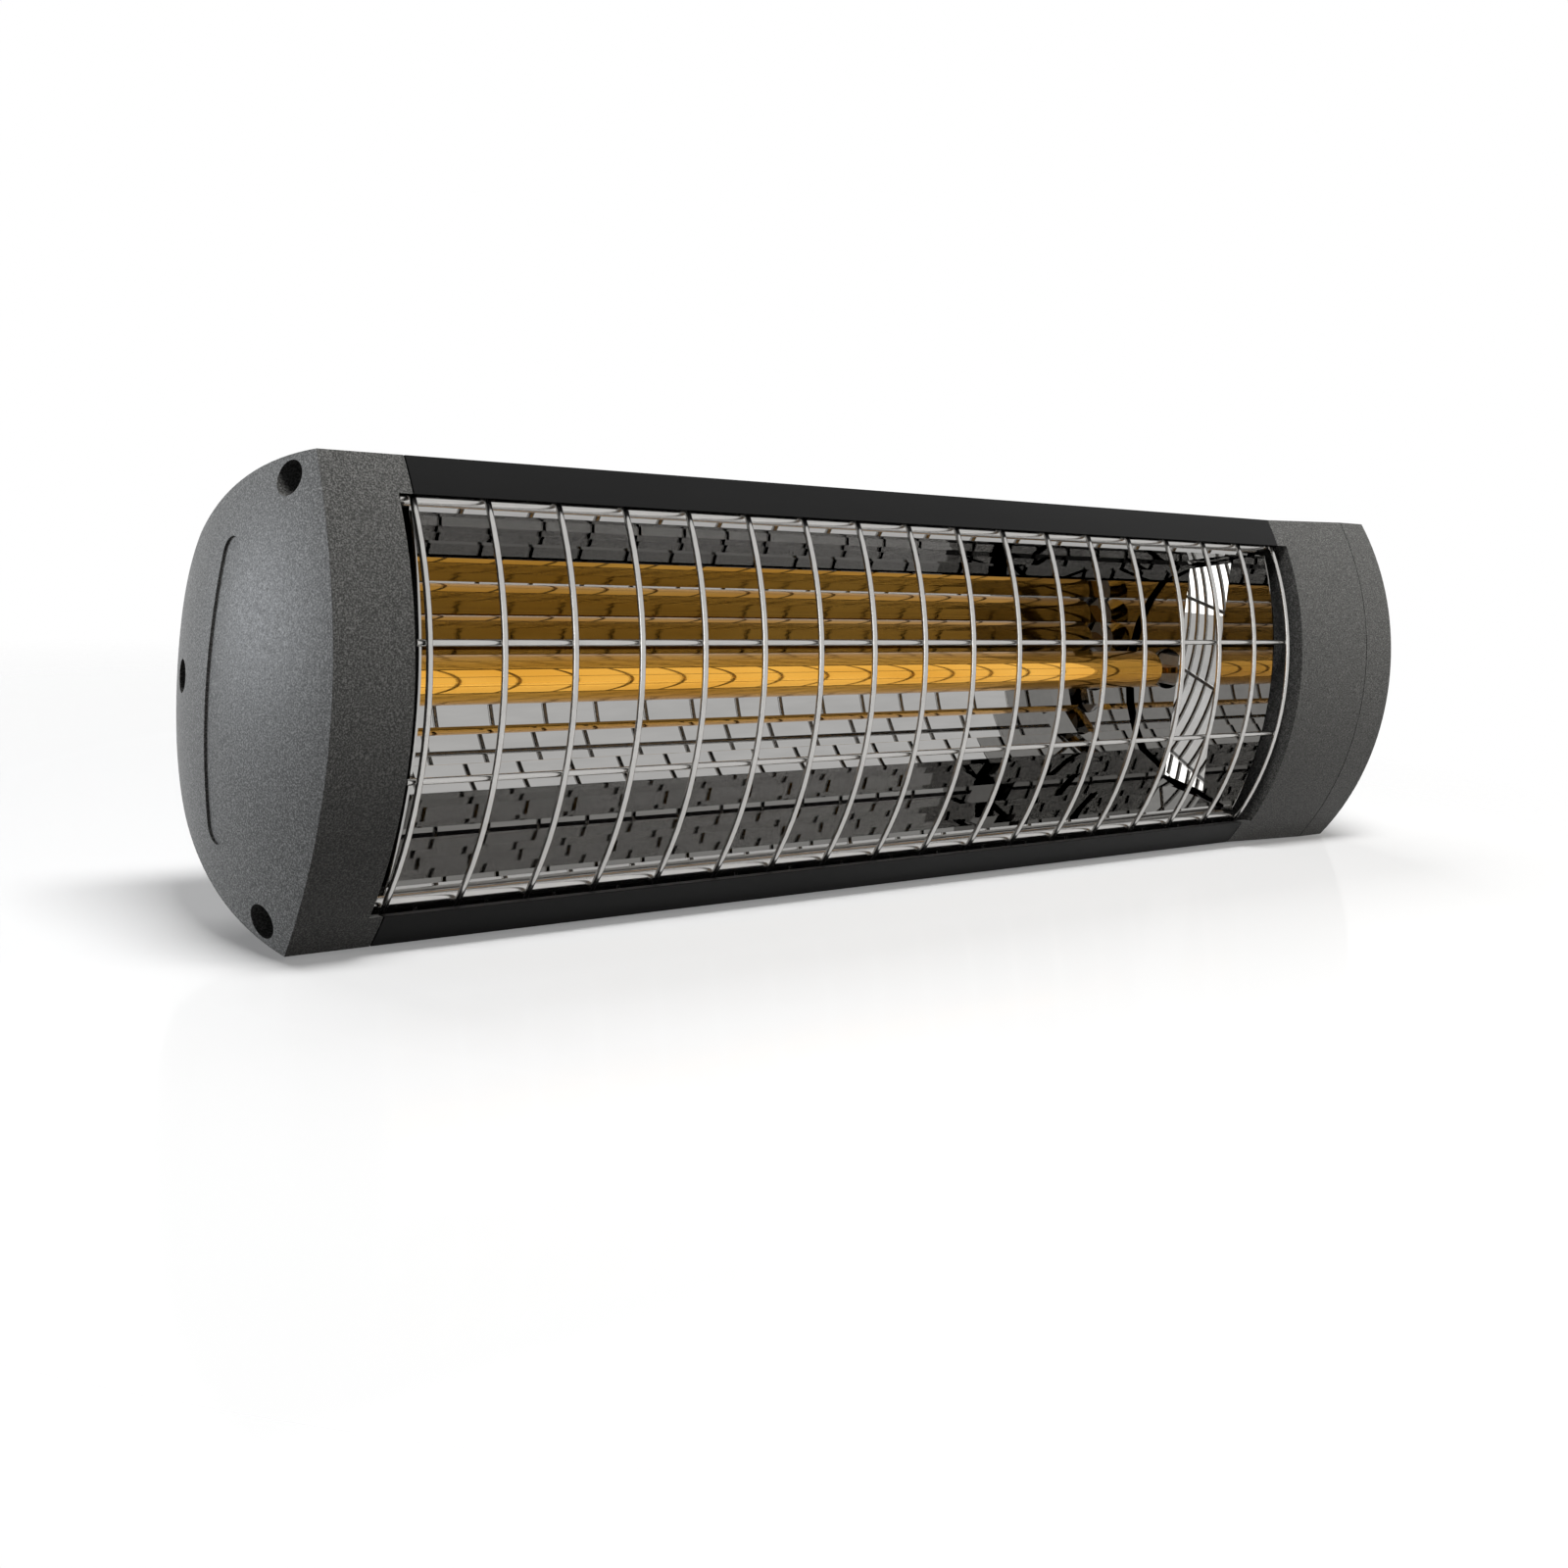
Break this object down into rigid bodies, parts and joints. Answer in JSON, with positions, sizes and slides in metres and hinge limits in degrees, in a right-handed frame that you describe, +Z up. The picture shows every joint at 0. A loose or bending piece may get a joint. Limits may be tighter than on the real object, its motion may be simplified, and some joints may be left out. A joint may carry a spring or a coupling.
{
  "type": "infrared heater",
  "caption": "Wall-mounted infrared heater: black extruded housing, charcoal crowned caps, arched wire guard, faceted mirror trough and an amber tube lamp.",
  "frame": {"origin": "middle of the flat mounting face at the back, on the mouth of the rear channel", "axes": "+X along the heater towards the terminal end, +Y to the rear, out of the mounting face, +Z up"},
  "size_m": [0.5726, 0.0974, 0.144],
  "materials": {
    "profile_black": "satin near-black coat on an aluminium extrusion",
    "cap_coat": "grainy charcoal powder coat on die-cast metal",
    "gasket": "matt black rubber",
    "screw_steel": "bright zinc-plated steel",
    "guard_steel": "bright drawn stainless wire",
    "mirror_sheet": "mirror-polished aluminium sheet",
    "bracket_steel": "plain galvanised sheet steel",
    "amber_tube": "quartz tube with a gold-amber coating",
    "filament": "dark grey spiral of carbon",
    "ceramic": "unglazed white ceramic",
    "lead_sleeve": "woven glass sleeve",
    "brass": "plain turned brass",
    "gland_plastic": "black moulded plastic"
  },
  "bodies": {
    "heater": {"housing_profile": "profile_black", "end_cap_left": "cap_coat", "terminal_housing": "cap_coat", "end_cap_right": "cap_coat", "gasket_left": "gasket", "gasket_right": "gasket", "gasket_end": "gasket", "cap_screws_left": "screw_steel", "cap_screws_right": "screw_steel", "guard_arches": "guard_steel", "guard_long_wires": "guard_steel", "guard_rails": "guard_steel", "reflector_trough": "mirror_sheet", "mirror_plate_left": "mirror_sheet", "mirror_plate_right": "mirror_sheet", "lamp_frame_left": "bracket_steel", "lamp_frame_right": "bracket_steel", "frame_screws": "screw_steel", "lamp_tube": "amber_tube", "lamp_seals": "amber_tube", "lamp_filament": "filament", "lamp_base_left": "ceramic", "lamp_base_right": "ceramic", "base_straps": "bracket_steel", "strap_screws": "screw_steel", "lead_left": "lead_sleeve", "lead_right": "lead_sleeve", "lead_earth": "lead_sleeve", "terminal_block": "ceramic", "terminal_clamps": "brass", "block_screws": "screw_steel", "earth_screw": "brass", "gland_body": "gland_plastic", "gland_locknut": "gland_plastic", "gland_seal": "gasket", "gland_cap_nut": "gland_plastic"},
    "nut_left": {"slide_nut_left": "screw_steel"},
    "nut_right": {"slide_nut_right": "screw_steel"}
  },
  "joints": [
    {"name": "nut_left_slide", "type": "slide", "parent": "heater", "child": "nut_left", "axis": [1, 0, 0], "range_m": [-0.085, 0.11]},
    {"name": "nut_right_slide", "type": "slide", "parent": "heater", "child": "nut_right", "axis": [1, 0, 0], "range_m": [-0.11, 0.085]}
  ]
}
